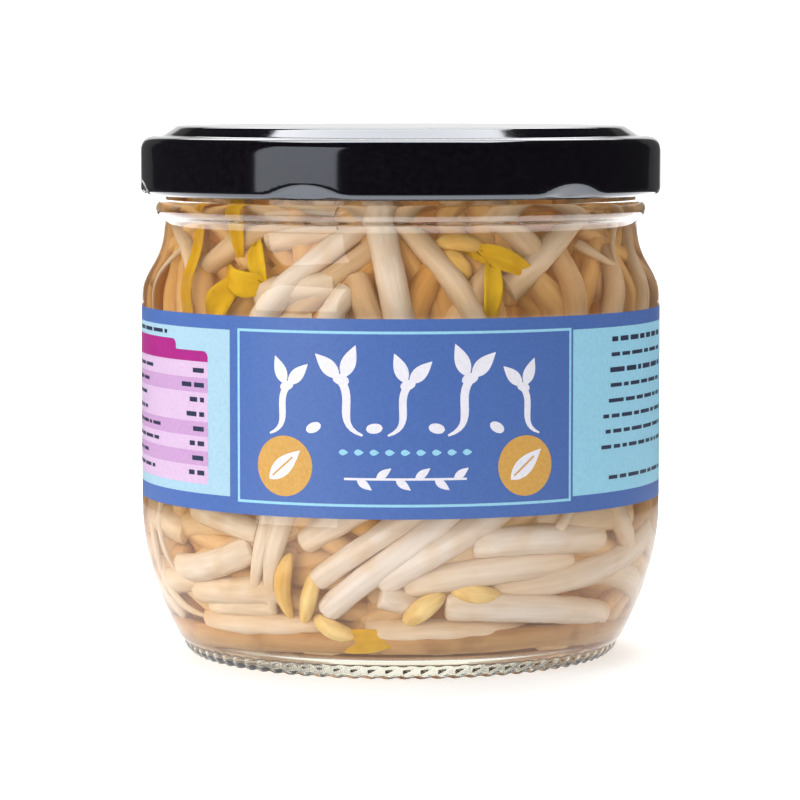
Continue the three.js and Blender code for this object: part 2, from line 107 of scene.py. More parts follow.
def arcPoints(start, startPull, endPull, end, steps):
    points = []
    for step in range(steps + 1):
        t = step / steps
        s = 1 - t
        points.append(tuple(
            s ** 3 * a + 3 * s * s * t * b + 3 * s * t * t * c + t ** 3 * d
            for a, b, c, d in zip(start, startPull, endPull, end)))
    return points


def startPoint(name, point):
    # a lone point in edit mode, for extrudeAlong to draw from
    bpy.ops.mesh.primitive_plane_add(size=mm, location=[v * mm for v in point])
    bpy.ops.object.transform_apply()
    piece = bpy.context.object
    piece.name = name
    bpy.ops.object.mode_set(mode="EDIT")
    bpy.ops.mesh.merge(type="CENTER")
    return piece


def extrudeAlong(points):
    for before, after in zip(points, points[1:]):
        bpy.ops.mesh.extrude_region_move(
            TRANSFORM_OT_translate={"value": [(b - a) * mm for a, b in zip(before, after)]})
    bpy.ops.mesh.select_all(action="SELECT")


def near(radius, height, *steps):
    # points of an outline, each given from the same corner
    return [(radius + out, height + up) for out, up in steps]


def spinOutline(name, outline, steps):
    # a chain of edges drawn in the XZ plane and spun round the jar's axis
    points = [(r, 0, z) for r, z in outline]
    piece = startPoint(name, points[0])
    extrudeAlong(points)
    bpy.ops.mesh.spin(steps=steps, angle=2 * pi, center=(0, 0, 0), axis=(0, 0, 1))
    bpy.ops.mesh.select_all(action="SELECT")
    bpy.ops.mesh.remove_doubles(threshold=0.002 * mm)
    bpy.ops.mesh.normals_make_consistent(inside=False)
    bpy.ops.object.mode_set(mode="OBJECT")
    return piece


def press(piece, change):
    # change gets radius, degrees round and height, and gives how far to move out and up
    for vertex in piece.data.vertices:
        x, y, z = vertex.co
        radius = hypot(x, y) / mm
        out, up = change(radius, degrees(atan2(x, -y)), z / mm)
        if out:
            vertex.co.x *= 1 + out / radius
            vertex.co.y *= 1 + out / radius
        vertex.co.z += up * mm


def pick(pieces):
    bpy.ops.object.select_all(action="DESELECT")
    for piece in pieces:
        piece.select_set(True)
    bpy.context.view_layer.objects.active = pieces[0]


def finishPiece(piece, material, body, slot, *nodes, smoothAngle=40):
    pick([piece])
    bpy.ops.object.shade_smooth_by_angle(angle=radians(smoothAngle))
    piece.data.materials.clear()
    piece.data.materials.append(material)
    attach(piece, body)
    if nodes:
        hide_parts(*nodes)


def joinPieces(name, parts):
    pick(parts)
    bpy.ops.object.join()
    parts[0].name = name
    return parts[0]


def place(radius, azimuth, z):
    angle = radians(azimuth)
    return Vector((radius * sin(angle), -radius * cos(angle), z))


# the camera

view = {
    "distance": 628.3,  # mm from the jar's axis
    "height": 92.84,
    "tiltDown": 4.723,  # degrees
    "turn": 0.0103,
    "lens": 172.94,
}
bpy.ops.object.camera_add(
    location=(0, -view["distance"] * mm, view["height"] * mm),
    rotation=(radians(90 - view["tiltDown"]), 0, radians(view["turn"])))
camera = bpy.context.object
camera.data.lens = view["lens"]
camera.data.sensor_width = 36
camera.data.clip_start = 0.01
bpy.context.scene.camera = camera


# the glass jar

jar = {
    "bearingRadius": 34.7,
    "pushUp": 2.2,
    "bodyRadius": 42.3,
    "wall": 2.4,
    "floorHeight": 3.3,
    "floorCrown": 1.6,  # the floor rises this much to its middle
    "floorRadius": 30,
    "heelTop": 24.1,
    "panelBottom": 26.3,
    "panelTop": 56.5,
    "panelRadius": 42.05,  # a shallow seat, closed by the label's edges
    "shoulderBottom": 57.9,
    "neckBottom": 70.5,
    "neckRadius": 38.6,
    "beadRadius": 40.0,
    "beadHeight": 72.5,
    "beadHalfHeight": 1.5,
    "finishRadius": 38.4,
    "rimHeight": 82.1,
    "knurls": 80,
    "knurlDepth": 0.42,
    "knurlMiddle": 1.2,  # height of each oval knurl's middle
    "knurlHalfHeight": 0.95,
    "knurlFade": 1.0,
    "knurlLean": -0.22,  # of a knurl's pitch for each mm up
    "knurlInside": 33.5,
    "stepsPerKnurl": 6,
    "archHeight": 0.36,  # between one foot and the next
    "archTop": 0.9,
    "footHeight": 3.1,
    "ridges": 6,
    "firstRidge": 39.5,  # degrees, where a lug sits with the lid shut
    "ridgeFoot": 77.3,
    "ridgeHeight": 1.8,
    "ridgeOut": 1.4,
    "ridgeEnds": (12, 22),  # degrees before and after its lug's middle
    "ridgeClimb": 0.03,  # mm a degree
}
brine = {"offWall": 0.03, "fillHeight": 79.5, "steps": 132}
bodyInside = jar["bodyRadius"] - jar["wall"]
bore = jar["finishRadius"] - jar["wall"]
innerHeel = arcPoints(
    *near(jar["bearingRadius"], jar["floorHeight"], (-4.2, 0), (1.3, 0)),
    *near(bodyInside, jar["heelTop"], (0, -10), (0, 0)), 18)
innerShoulder = arcPoints(
    *near(bodyInside, jar["shoulderBottom"], (0, 0), (0, 5)),
    *near(bore, jar["neckBottom"], (0, -7), (0, 0)), 14)


def floorAt(radius):
    return jar["floorHeight"] + jar["floorCrown"] * (1 - (radius / jar["floorRadius"]) ** 2)


def jarOutline():
    body, bearing, neck, panel = [jar[part + "Radius"] for part in ("body", "bearing", "neck", "panel")]
    heel = arcPoints(
        (bearing, 0), (bearing + 4.9, 8), (body, jar["heelTop"] - 7.6), (body, jar["heelTop"]), 78)
    heel = heel[:13] + heel[15::3]  # close rings only where the knurls are
    shoulder = arcPoints(
        *near(body, jar["shoulderBottom"], (0, 0), (0, 5.4)),
        *near(neck, jar["neckBottom"], (0, -7.3), (0, 0)), 18)
    bead = []
    for step in range(1, 12):
        level = -cos(pi * step / 12)
        bead.append((
            neck + (jar["beadRadius"] - neck) * sqrt(1 - level * level),
            jar["beadHeight"] + level * jar["beadHalfHeight"]))
    finish, rim = jar["finishRadius"], jar["rimHeight"]
    lip = arcPoints(*near(finish, rim, (0, -1), (0, 0), (0, 0), (-1, 0)), 5)
    lip += arcPoints(*near(bore, rim, (0.6, 0), (0, 0), (0, 0), (0, -0.6)), 4)
    return (
        near(0, jar["pushUp"], (0, 0), (12, -0.1), (24, -0.4))
        + arcPoints(*near(0, jar["pushUp"], (30.4, -0.7), (31.8, -0.9)), (32.2, 0.2), (33.1, 0), 6)
        + [(33.9, 0)] + heel
        + [(body, jar["panelBottom"]), (panel, jar["panelBottom"] + 0.5)]
        + [(panel, jar["panelTop"] - 0.5), (body, jar["panelTop"])]
        + shoulder + bead
        + [(finish, jar["beadHeight"] + jar["beadHalfHeight"])]
        + [(finish, 76.6 + 0.3 * i) for i in range(14)] + lip  # close rings where the ridges are
        + innerShoulder[::-1] + innerHeel[::-1]
        + [(r, floorAt(r)) for r in (24, 18, 12, 6, 0)])


def knurl(radius, azimuth, z):
    # leaning oval knurls round the bearing edge, which stands on one foot under each
    middle, half, archTop = jar["knurlMiddle"], jar["knurlHalfHeight"], jar["archTop"]
    top = middle + half + jar["knurlFade"] - 0.3
    if radius < jar["knurlInside"] + max(0, z - 1) * 0.9 or z > top:
        return 0, 0
    aside = (jar["knurls"] * azimuth / 360 + (z - middle) * jar["knurlLean"]) % 1 - 0.5
    dome = max(0, 1 - (aside / 0.47) ** 2 - ((z - middle) / half) ** 2) ** 0.7
    fade = min(1, (top - z) / jar["knurlFade"])
    arch = jar["archHeight"] * (2 * aside) ** 2 * max(0, archTop - z) / archTop
    return -jar["knurlDepth"] * (1 - dome) * fade, arch


def ridge(radius, azimuth, z):
    # each short ridge climbs as it goes round, with its lug's seat under it
    before, after = jar["ridgeEnds"]
    turn = (azimuth - jar["firstRidge"] + before) % (360 / jar["ridges"]) - before
    ends = min(turn + before, after - turn)
    level = (z - jar["ridgeFoot"] - jar["ridgeClimb"] * turn) / jar["ridgeHeight"]
    if abs(radius - jar["finishRadius"]) > 0.05 or ends <= 0 or not 0 <= level <= 1:
        return 0, 0
    return jar["ridgeOut"] * min(1, ends / 3) * sin(pi * level) ** 0.6, 0


def flintGlass(name, ior, tint):
    # soda-lime container glass, pressed and blown: clear, faintly green, soft waves from the mould
    material, tree, shader = startMaterial(name, {
        "Base Color": linearColour(tint), "Roughness": 0.01, "IOR": ior, "Transmission Weight": 1.0})
    where = addNode(tree, "TexCoord").outputs["Object"]
    waves = addNode(tree, "TexNoise", {"Vector": where, "Scale": 1 / (9 * mm), "Detail": 0.0})
    ripple = addNode(tree, "Bump", {"Height": waves, "Distance": 0.05 * mm, "Strength": 0.5})
    setInputs(shader, {"Normal": ripple})
    letLightIn(tree, shader, linearColour("#F7FAF8"))
    return material


def dressTheWalls(piece, wetted, foot):
    # where the brine wets the wall, light bends only by the step from one to the other
    piece.data.materials.append(wetted)
    piece.data.materials.append(foot)
    for face in piece.data.polygons:
        radius = hypot(face.center.x, face.center.y) / mm
        z = face.center.z / mm
        onFloor = radius < jar["floorRadius"] + 1 and -0.05 < z - jar["floorHeight"] < jar["floorCrown"]
        onWall = jar["floorHeight"] < z < brine["fillHeight"] and (
            abs(radius - radiusAt(innerHeel + innerShoulder, z)) < 0.3)
        if onFloor or onWall:
            face.material_index = 1
        elif z < jar["footHeight"]:
            face.material_index = 2


jarGlass = spinOutline("jarGlass", jarOutline(), jar["knurls"] * jar["stepsPerKnurl"])
press(jarGlass, knurl)
press(jarGlass, ridge)
finishPiece(
    jarGlass, flintGlass("flintGlassBlown", 1.52, "#F8FCFA"),
    "jar", "glass", "glass_jar", smoothAngle=50)
dressTheWalls(
    jarGlass, flintGlass("flintGlassWetted", 1.52 / 1.34, "#FFFFFF"),
    flintGlass("flintGlassThick", 1.52, "#F8F6E3"))  # its colour gathers in the thick foot
print("glass jar", len(jarGlass.data.polygons))


# the brine

def brineOutline():
    off, low, fill = brine["offWall"], jar["floorHeight"], brine["fillHeight"]
    meniscus = arcPoints(*near(bore, fill, (-off, 0.6), (-0.4, 0.2), (-1.5, 0), (-3, 0)), 5)
    return (
        [(r, floorAt(r) + off) for r in (0, 6, 12, 18, 24)]
        + [(r - off * min(1, (z - low) / 2), z + off * max(0, 1 - (z - low) / 6)) for r, z in innerHeel]
        + [(r - off, z) for r, z in innerShoulder]
        + meniscus + [(0, fill)])


def amberBrine(name, ior):
    # water, salt and what the sprouts give off: a weak tea-coloured liquid
    material, tree, shader = startMaterial(name, {
        "Base Color": (1, 1, 1, 1), "Roughness": 0.0, "IOR": ior, "Transmission Weight": 1.0})
    letLightIn(tree, shader, linearColour("#FFFBF4"))
    tint = addNode(tree, "VolumeAbsorption", {"Color": linearColour("#FBE0A2"), "Density": 98.0})
    setInputs(tree.nodes["Material Output"], {"Volume": tint})
    return material


brineBody = spinOutline("brineBody", brineOutline(), brine["steps"])
finishPiece(brineBody, amberBrine("amberBrineAtGlass", 1.0), "jar", "brine", "brine")
brineBody.data.materials.append(amberBrine("amberBrineSurface", 1.34))
for face in brineBody.data.polygons:
    if face.center.z > (brine["fillHeight"] - 0.1) * mm:
        face.material_index = 1
print("brine")


# the sprouts: masters are modelled once along X from 0 to 1, then bent along each path

tangle = {
    "wallDistance": 0.8,  # from the inside of the glass
    "bottom": 3.7,
    "top": 78.6,
    "middleRadius": bodyInside - 4,
    "heartBottom": 5.5,
    "heartTop": 75.5,
    "heartDepth": 7.5,  # behind the outermost sprouts' space
}
spaceWall = [(r - tangle["wallDistance"], z) for r, z in innerHeel + innerShoulder]


def extrudeMaster(name, sides, rings):
    bpy.ops.mesh.primitive_circle_add(
        vertices=sides, radius=rings[0][1], fill_type="NGON", rotation=(0, pi / 2, 0))
    bpy.ops.object.transform_apply()
    master = bpy.context.object
    master.name = name
    bpy.ops.object.mode_set(mode="EDIT")
    bpy.ops.mesh.select_all(action="SELECT")
    for (x0, r0), (x1, r1) in zip(rings, rings[1:]):
        bpy.ops.mesh.extrude_region_move(TRANSFORM_OT_translate={"value": (x1 - x0, 0, 0)})
        bpy.ops.transform.resize(value=(1, r1 / r0, r1 / r0))
    bpy.ops.mesh.select_all(action="SELECT")
    bpy.ops.mesh.normals_make_consistent(inside=False)
    bpy.ops.object.mode_set(mode="OBJECT")
    return master


def stemMaster(sides, count):
    # a snapped hypocotyl: even, with a bruised blunt end and a rounded one
    rings = [(0, 0.55), (0.008, 0.84), (0.025, 0.98)]
    rings += [(0.025 + 0.95 * i / count, 1 + 0.02 * sin(i * 1.9)) for i in range(1, count)]
    return extrudeMaster("stemMaster", sides, rings + [(0.975, 0.97), (0.992, 0.8), (1, 0.5)])


def rootMaster(sides, count):
    # the lower end of a sprout, thinning to its root
    rings = [(0, 0.5), (0.01, 0.85), (0.03, 1)]
    rings += [(0.03 + 0.96 * i / count, 1 - 0.78 * (i / count) ** 1.3) for i in range(1, count + 1)]
    return extrudeMaster("rootMaster", sides, rings + [(1, 0.08)])


def seedHalfMaster():
    # half of the bean: domed outside, flat inside with a shallow groove
    bpy.ops.mesh.primitive_uv_sphere_add(
        segments=18, ring_count=12, radius=1, rotation=(0, pi / 2, 0))
    bpy.ops.object.transform_apply()
    master = bpy.context.object
    master.name = "seedHalfMaster"
    for vertex in master.data.vertices:
        x, y, z = vertex.co
        along = (x + 1) / 2
        plump = 1 - 0.25 * along
        flat = max(z, -0.3 + 0.18 * max(0, 1 - abs(y) / 0.4))
        vertex.co = (along, y * plump, flat * plump)
    return master


def leafMaster():
    # a seedling's first leaf: pointed, cupped along its midrib
    bpy.ops.mesh.primitive_grid_add(x_subdivisions=16, y_subdivisions=6, size=2)
    master = bpy.context.object
    master.name = "leafMaster"
    for vertex in master.data.vertices:
        x, y, _ = vertex.co
        along = (x + 1) / 2
        width = 0.1 + 0.9 * sin(pi * along ** 0.8) ** 0.9
        vertex.co = (along, y * width, 0.7 * y * y * width + 0.1 * sin(along * 5))
    bpy.ops.object.modifier_add(type="SOLIDIFY")
    master.modifiers["Solidify"].thickness = 0.3
    master.modifiers["Solidify"].offset = 0
    bpy.ops.object.modifier_apply(modifier="Solidify")
    return master


def sproutPoint(sprout, t):
    (a0, z0), (a1, z1) = sprout["from"], sprout["to"]
    run = radians(a1 - a0) * tangle["middleRadius"]
    rise = z1 - z0
    length = hypot(run, rise)
    bend = sprout["bow"] * 4 * t * (1 - t)
    azimuth = a0 + (a1 - a0) * t
    azimuth -= degrees(bend * rise / length / tangle["middleRadius"])
    half = sprout["size"][0] / 2
    z = min(tangle["top"] - half, max(tangle["bottom"] + half, z0 + rise * t + bend * run / length))
    sunk = sprout["sunk"]
    depth = sunk[0] * (1 - t) * (1 - 2 * t) + sunk[1] * 4 * t * (1 - t) + sunk[2] * t * (2 * t - 1)
    return place(radiusAt(spaceWall, z) - sprout["size"][1] / 2 - max(depth, 0), azimuth, z)


def bentCopy(master, sprout, pathPoint, surfaceNormal, tone):
    # where a master's point lies along, across and through becomes the same on the path
    copy = master.copy()
    copy.data = master.data.copy()
    bpy.context.scene.collection.objects.link(copy)
    halfWidth, halfThickness = sprout["size"][0] / 2, sprout["size"][1] / 2
    frames = {}
    skin = copy.data.attributes.new("skin", "FLOAT_VECTOR", "POINT")
    for vertex in copy.data.vertices:
        t, side, through = vertex.co
        key = round(t, 4)
        if key not in frames:
            point = pathPoint(t)
            along = (pathPoint(min(1, t + 0.02)) - pathPoint(max(0, t - 0.02))).normalized()
            across = surfaceNormal(point).cross(along).normalized()
            frames[key] = (point, across, along.cross(across))
        point, across, out = frames[key]
        vertex.co = (point + across * side * halfWidth + out * through * halfThickness) * mm
        skin.data[vertex.index].vector = (t, atan2(through, side) / pi, tone)
    return copy


def outward(point):
    return Vector((point.x, point.y, 0)).normalized()


def wallCopy(masters, sprout, toneDraw):
    drawn = toneDraw(0, 1)
    tone = drawn if sprout["tone"] is None else sprout["tone"]
    return bentCopy(masters[sprout["kind"]], sprout, lambda t: sproutPoint(sprout, t), outward, tone)


def seededDraw(seed):
    # the same draws as the CAD rule makes, in floats
    state = [float(seed)]

    def draw(low, high):
        state[0] = (state[0] * 1103515245.0 + 12345.0) % 2147483648.0
        return low + (high - low) * (state[0] / 2147483648.0)
    return draw


def lay(kind, start, end, bow, size, sunk, tone=None):
    # ends in degrees round and mm up; one size stands for width and thickness;
    # sunk is the depth at the start, middle and end; tone 0 is the palest, 2 the brownest
    size = size if isinstance(size, tuple) else (size, size)
    return {"kind": kind, "from": start, "to": end, "bow": bow, "size": size, "sunk": sunk, "tone": tone}


def leaning(azimuth, z, angle, reach, radius):
    # the ends of a sprout that leans by an angle and reaches equally far to both sides
    across = degrees(reach * cos(angle) / radius)
    up = reach * sin(angle)
    return (azimuth - across, z - up), (azimuth + across, z + up)


frontSprouts = [
    # against the shoulder, left to right
    ("stem", (-86, 71), (-60, 61), 1, 4, (3, 1.2, 2), 1.2),
    ("root", (-67, 67), (-78, 54), -2, 1.7, (2, 0.3, 3), 1.1),
    ("leaf", (-64, 73), (-55, 51), 0.6, (3, 1.3), (3, 0.1, 2.6)),
    ("stem", (-58, 62), (-30, 73), 1, (4.6, 4.4), (2.4, 1.4, 2.4), 1.4),
    ("leaf", (-47, 77), (-45, 64), 0.3, (3, 1.3), (3, 0.4, 2.8)),
    ("leaf", (-41, 68), (-34, 60), 0.5, (3.2, 1.4), (2.6, 0.2, 2)),
    ("leaf", (-33, 61), (-48, 63), 0.7, (3.4, 1.4), (1.8, 0.1, 2.6)),
    ("leaf", (-52, 56), (-41, 62), -0.6, (4.2, 1.4), (3, 0.6, 2.4)),
    ("stem", (-37, 67.6), (-17, 70.6), 0.3, (4.6, 4.2), (2, 1.2, 2), 0.8),
    ("stem", (-43, 50), (-9, 72), 0.6, 4.1, (2.4, 0, 2.2), 0.4),
    ("stem", (-36, 59.2), (-16, 61), 0.2, (4.2, 4), (1.8, 0.9, 1.4), 0.7),
    ("stem", (-31, 55), (-4, 69), -0.4, 3.9, (3, 1.4, 2.8), 1.5),
    ("stem", (-33, 54.6), (-22, 56.6), 0, 3.8, (1.8, 1.2, 2.4), 0.6),
    ("stem", (-20, 54), (-13, 60), 0, 3.6, (2.6, 0.5, 1.6), 0.5),
    ("stem", (-11, 62), (-3, 51), 0, 3.9, (1.8, 1.4, 3), 1.7),
    ("stem", (-7, 77), (4, 47), -0.5, (4.6, 4.4), (2.2, 0, 3), 0.5),
    ("stem", (-1, 73), (26, 48), 0.6, 3.7, (3, 0.6, 3), 1.2),
    ("half", (9, 67.8), (23, 66.4), 0.8, (3.4, 2.6), (2, 0.2, 2), 1.2),
    ("half", (11, 66.6), (17, 61.5), 0.4, (3.6, 2.8), (2.2, 1, 2.4), 1.3),
    ("stem", (11, 55), (25, 64), 0, 3.7, (3, 1.5, 2.6), 1.6),
    ("leaf", (18, 66.5), (34, 61.6), 0.8, (3.6, 1.4), (1.6, 0, 2)),
    ("leaf", (23, 65), (21, 55), -0.5, (2.8, 1.3), (1.2, 0.2, 2.6)),
    ("stem", (22, 75), (40, 63), 0.5, (4.8, 4.4), (2.8, 0.8, 2.2), 1.3),
    ("stem", (56, 74), (27, 60), 0.4, (4.3, 4.2), (2.8, 0.3, 2.8), 1.1),
    ("stem", (44, 69), (46, 48), 0.5, (4.3, 4.2), (2.8, 1.2, 3), 1.8),
    ("root", (74, 75), (63, 61), -1, (2.2, 2), (2.6, 0.2, 1), 1.3),
    ("root", (53, 67), (67, 62), -0.8, (2.2, 2), (2.6, 0.3, 2), 1.1),
    ("stem", (67, 66), (49, 48), 0.5, 3.9, (2.4, 0.9, 3), 1.5),
    ("stem", (83, 74), (68, 47), 0.5, 4.1, (2.8, 0.7, 3), 1.3),
    # against the heel, left to right
    ("root", (-83, 24), (-80, 9), 2.2, 3, (2.6, 0.4, 2.6), 1.1),
    ("root", (-73, 27), (-66, 14), -1.4, (2.2, 2), (2.8, 0.2, 2), 1),
    ("root", (-79, 17), (-62, 9), -2, (3.2, 3), (2.6, 0.5, 2.4), 1),
    ("stem", (-86, 22.5), (-63, 21.5), 0.6, (4.2, 4), (2.6, 1.2, 2.2), 1.2),
    ("stem", (-84, 12), (-58, 15), 0.6, (4.4, 4.2), (2.6, 1.3, 2.4), 1.1),
    ("stem", (-68, 16.4), (-38, 20.4), -1.4, (4.4, 4.2), (2.2, 0.2, 1.6), 0.6),
    ("stem", (-59, 25), (-36, 22.6), 0.4, 3.4, (2.8, 0.8, 1.6), 0.9),
    ("stem", (-62, 13.4), (-30, 14.6), -0.5, (4.6, 4.2), (2.4, 1, 2.2), 0.9),
    ("stem", (-61, 8.6), (-21, 9), -0.4, (3.9, 3.8), (2.4, 0.8, 2.4), 1.2),
    ("stem", (-56, 10.8), (-34, 11.6), 0.4, (3.9, 3.8), (2.6, 1.5, 2.4), 1),
    ("root", (-32, 27), (-40, 11), 0.6, (3.4, 3.2), (2.8, 0.2, 1.8), 0.8),
    ("root", (-25, 31), (-35, 8), -0.8, (4.4, 4.2), (3, 0.1, 2), 0.8),
    ("half", (-27, 20), (-29, 9.6), -0.6, (3.2, 2.8), (1.8, 0, 2)),
    ("half", (-21, 17.6), (-26, 8.8), 0.6, (3, 2.8), (2, 0.2, 2)),
    ("half", (-22, 10.8), (-10, 7.4), -1, (3.6, 3), (1.8, 0, 2)),
    ("leaf", (-18, 6.6), (1, 7.4), -0.3, (3.6, 1.4), (1.8, 0.3, 2.2)),
    ("stem", (-24, 21.6), (9, 32), 0.3, 3.8, (2.2, 0.7, 3), 0.6),
    ("stem", (-21, 15.8), (18, 32), 0.3, 3.5, (1.4, 0.2, 3), 0.3),
    ("stem", (-19, 11.2), (23, 31), 0.3, (4.1, 4), (1, 0, 3), 0.2),
    ("stem", (-5, 15.6), (36, 30), 0.4, (4.1, 4), (0.8, 0.1, 3), 0.3),
    ("stem", (-5, 14), (6, 12.2), 0, 4, (0.2, 1.6, 4), 0.6),
    ("half", (1, 9.4), (11, 14.2), 0.3, (3.9, 3), (1.8, 0, 1.8)),
    ("half", (12, 15.2), (26, 13.6), -0.5, (3.7, 3), (1.8, 0.1, 2)),
    ("stem", (17, 21.6), (57, 20.8), 0.6, (4.5, 4.4), (0.8, 0.2, 2.6), 0.4),
    ("stem", (1, 15.6), (46, 18), 0.8, (4.4, 4.2), (2, 0.4, 2.6), 0.7),
    ("stem", (23, 15), (84, 21), -1.6, (4.4, 4.2), (3, 0.5, 2.4), 0.6),
    ("stem", (34, 24.6), (70, 23.4), 0.3, (4, 3.8), (2.4, 1.6, 2.6), 1),
    ("stem", (11, 12.2), (67, 8.8), 0.5, (4.6, 4.4), (0.8, 0.2, 2.4), 0.5),
    ("stem", (-9, 8.4), (35, 7.6), 0.3, (4, 3.9), (2, 1, 2.6), 1.2),
    ("root", (37, 21), (48, 28), 0.8, (2.2, 2), (2.6, 0.1, 2.6), 1),
    ("stem", (54, 28), (70, 17), 0.6, (3.9, 3.8), (2.8, 0.5, 2.2), 1.1),
    ("stem", (52, 16.6), (86, 11), 0.8, (4.3, 4.2), (2.8, 0.6, 2.6), 1.1),
]
bands = [
    # from and to, height, its spread, lengths, tilts, how many, what lies beside each third
    (92, 268, 65, 3, (20, 27), (35, 145), 15, ("leaf", (3.4, 1.4))),
    (-92, 268, 41, 5, (24, 32), (15, 165), 15, None),
    (92, 268, 17, 5, (22, 32), (-35, 35), 17, ("half", (3.7, 3.0))),
]


def bandSprouts():
    draw = seededDraw(20)
    sprouts = []
    for start, end, middle, spread, length, tilt, count, beside in bands:
        slot = (end - start) / count
        for i in range(count):
            azimuth = start + slot * (i + draw(0.2, 0.8))
            z = middle + draw(-spread, spread)
            angle = radians(draw(*tilt))
            ends = leaning(azimuth, z, angle, draw(*length) / 2, tangle["middleRadius"])
            width = draw(3.6, 4.6)
            bow = draw(-1.6, 1.6)
            sprouts.append(lay("stem", *ends, bow, width, (2.6, draw(0.1, 1.1), 2.6)))
            if beside and i % 3 == 1:
                kind, size = beside
                side = azimuth + draw(5, 8)
                lean = draw(2, 8)
                sprouts.append(lay(kind, (side, z - 3), (side + lean, z + 4), 0.5, size, (2, 0.2, 2)))
    return sprouts


# sprouts further in, seen in the gaps: each band is a shell at its own depth
deepBands = [
    # depth, heights, tilts, how many
    (3.0, 8, 27, (-40, 50), 60),
    (3.0, 54, 74, (30, 150), 62),
    (5.6, 8, 27, (-60, 60), 50),
    (5.6, 54, 74, (20, 160), 50),
]


def deepSprouts():
    draw = seededDraw(77)
    sprouts = []
    for depth, low, high, tilt, count in deepBands:
        for i in range(count):
            azimuth = 360 * (i + draw(0, 1)) / count
            z = draw(low, high)
            angle = radians(draw(*tilt))
            ends = leaning(azimuth, z, angle, draw(22, 32) / 2, tangle["middleRadius"] - depth)
            width = draw(3.4, 4.6)
            deep = depth + draw(-0.8, 0.8)
            sunk = (deep + draw(0, 2), deep, deep + draw(0, 2))
            bow = draw(-2, 2)
            tone = draw(0.8, 2) if z > 40 else draw(0, 1.3)  # browner near the top: painted shade
            # paler towards the sides: painted light where the jar's edges fall in shade
            tone *= 1 - 0.4 * abs(sin(radians(azimuth)))
            sprouts.append(lay("deep", *ends, bow, width, sunk, tone))
    return sprouts


def floorSprouts():
    # laid round the corner of the jar's floor, and two rings inside them
    draw = seededDraw(31)
    sprouts = []
    for inward, count, reach in ((0.0, 11, 24), (4.4, 9, 26), (8.6, 8, 30)):
        for i in range(count):
            azimuth = 360 * (i + draw(0, 0.6)) / count
            lift = draw(0, 0.8)
            width = draw(3.8, 4.5)
            tip = draw(0, 2.2)
            sunk = (inward + draw(0, 1), inward, inward + draw(0, 1.6))
            low, high = (azimuth - reach, 5.7 + lift), (azimuth + reach, 5.7 + tip)
            sprouts.append(lay("deep", low, high, 0, width, sunk))
    return sprouts


def topSprouts():
    ends = [(12, 118, 76.2), (205, 75, 76.6), (-20, 215, 76.0)]
    ends += [(-62, 60, 76.4), (150, -85, 77.0), (238, 330, 76.3)]
    return [(place(bore - 4.4, a, z - 0.6), place(bore - 4.4, b, z + 0.6)) for a, b, z in ends]


masters = {
    "stem": stemMaster(14, 16),
    "deep": stemMaster(8, 4),
    "root": rootMaster(10, 14),
    "half": seedHalfMaster(),
    "leaf": leafMaster(),
}
copies = {kind: [] for kind in masters}
toneDraw = seededDraw(5)
for sprout in [lay(*row) for row in frontSprouts] + bandSprouts() + deepSprouts():
    copies[sprout["kind"]].append(wallCopy(masters, sprout, toneDraw))
settled = [wallCopy(masters, sprout, toneDraw) for sprout in floorSprouts()]
for start, end in topSprouts():
    copies["stem"].append(bentCopy(
        masters["stem"], {"size": (4.2, 4.0)},
        lambda t: start.lerp(end, t), lambda point: Vector((0, 0, 1)), toneDraw(0, 1)))
for master in masters.values():
    bpy.data.objects.remove(master)


def moistTissue(name, colours, glowWeight, through, roughness):
    # blanched sprout tissue in brine: no gloss of its own there, translucent, with fine strands; its
    # emission is a painted glow, standing in for light let through the tangle
    pale, mid, spent, blotched, paintedShadeAbove = [linearColour(code) for code in colours]
    material, tree, shader = startMaterial(name, {
        "Roughness": roughness, "IOR": 1.06, "Subsurface Weight": glowWeight,
        "Subsurface Radius": (1.0, 0.65, 0.35), "Subsurface Scale": 1.6 * mm,
        "Emission Color": linearColour("#E8CBAC"), "Emission Strength": through})
    where = addNode(tree, "TexCoord").outputs["Object"]
    skin = addNode(tree, "Attribute", attribute_name="skin")
    parts = addNode(tree, "SeparateXYZ", {0: skin.outputs["Vector"]})
    stretch = addNode(tree, "Mapping", {
        "Vector": skin.outputs["Vector"], "Scale": (2.5, 5.0, 9.0)})
    strands = addNode(tree, "TexNoise", {
        "Vector": stretch, "Scale": 1.0, "Detail": 2.0, "Roughness": 0.6})
    blotch = addNode(tree, "TexNoise", {"Vector": where, "Scale": 1 / (6 * mm), "Detail": 2.0})
    older = addNode(tree, "MapRange", {0: parts.outputs["Z"], 1: 1.0, 2: 2.0})
    blotches = addNode(tree, "MapRange", {0: blotch, 1: 0.52, 2: 0.85})
    grain = addNode(tree, "MapRange", {0: strands, 1: 0.35, 2: 0.65})
    strand = addNode(tree, "Mix", {
        0: grain, 6: (0.74, 0.68, 0.6, 1), 7: (1, 1, 1, 1)}, data_type="RGBA")
    # painted shade: the tissue above the label is darkened by multiplying in its last colour
    spot = addNode(tree, "SeparateXYZ", {0: where})
    upperShadeMask = addNode(tree, "MapRange", {0: spot.outputs["Z"], 1: 45 * mm, 2: 60 * mm})
    colour = pale
    for way, share, over in (
            ("MIX", parts.outputs["Z"], mid), ("MIX", older, spent), ("MIX", blotches, blotched),
            ("MULTIPLY", 0.55, strand.outputs[2]), ("MULTIPLY", upperShadeMask, paintedShadeAbove)):
        mix = addNode(tree, "Mix", {0: share, 6: colour, 7: over}, data_type="RGBA", blend_type=way)
        colour = mix.outputs[2]
    relief = addNode(tree, "Bump", {"Height": strands, "Distance": 0.12 * mm, "Strength": 0.6})
    setInputs(shader, {"Base Color": colour, "Normal": relief})
    return material
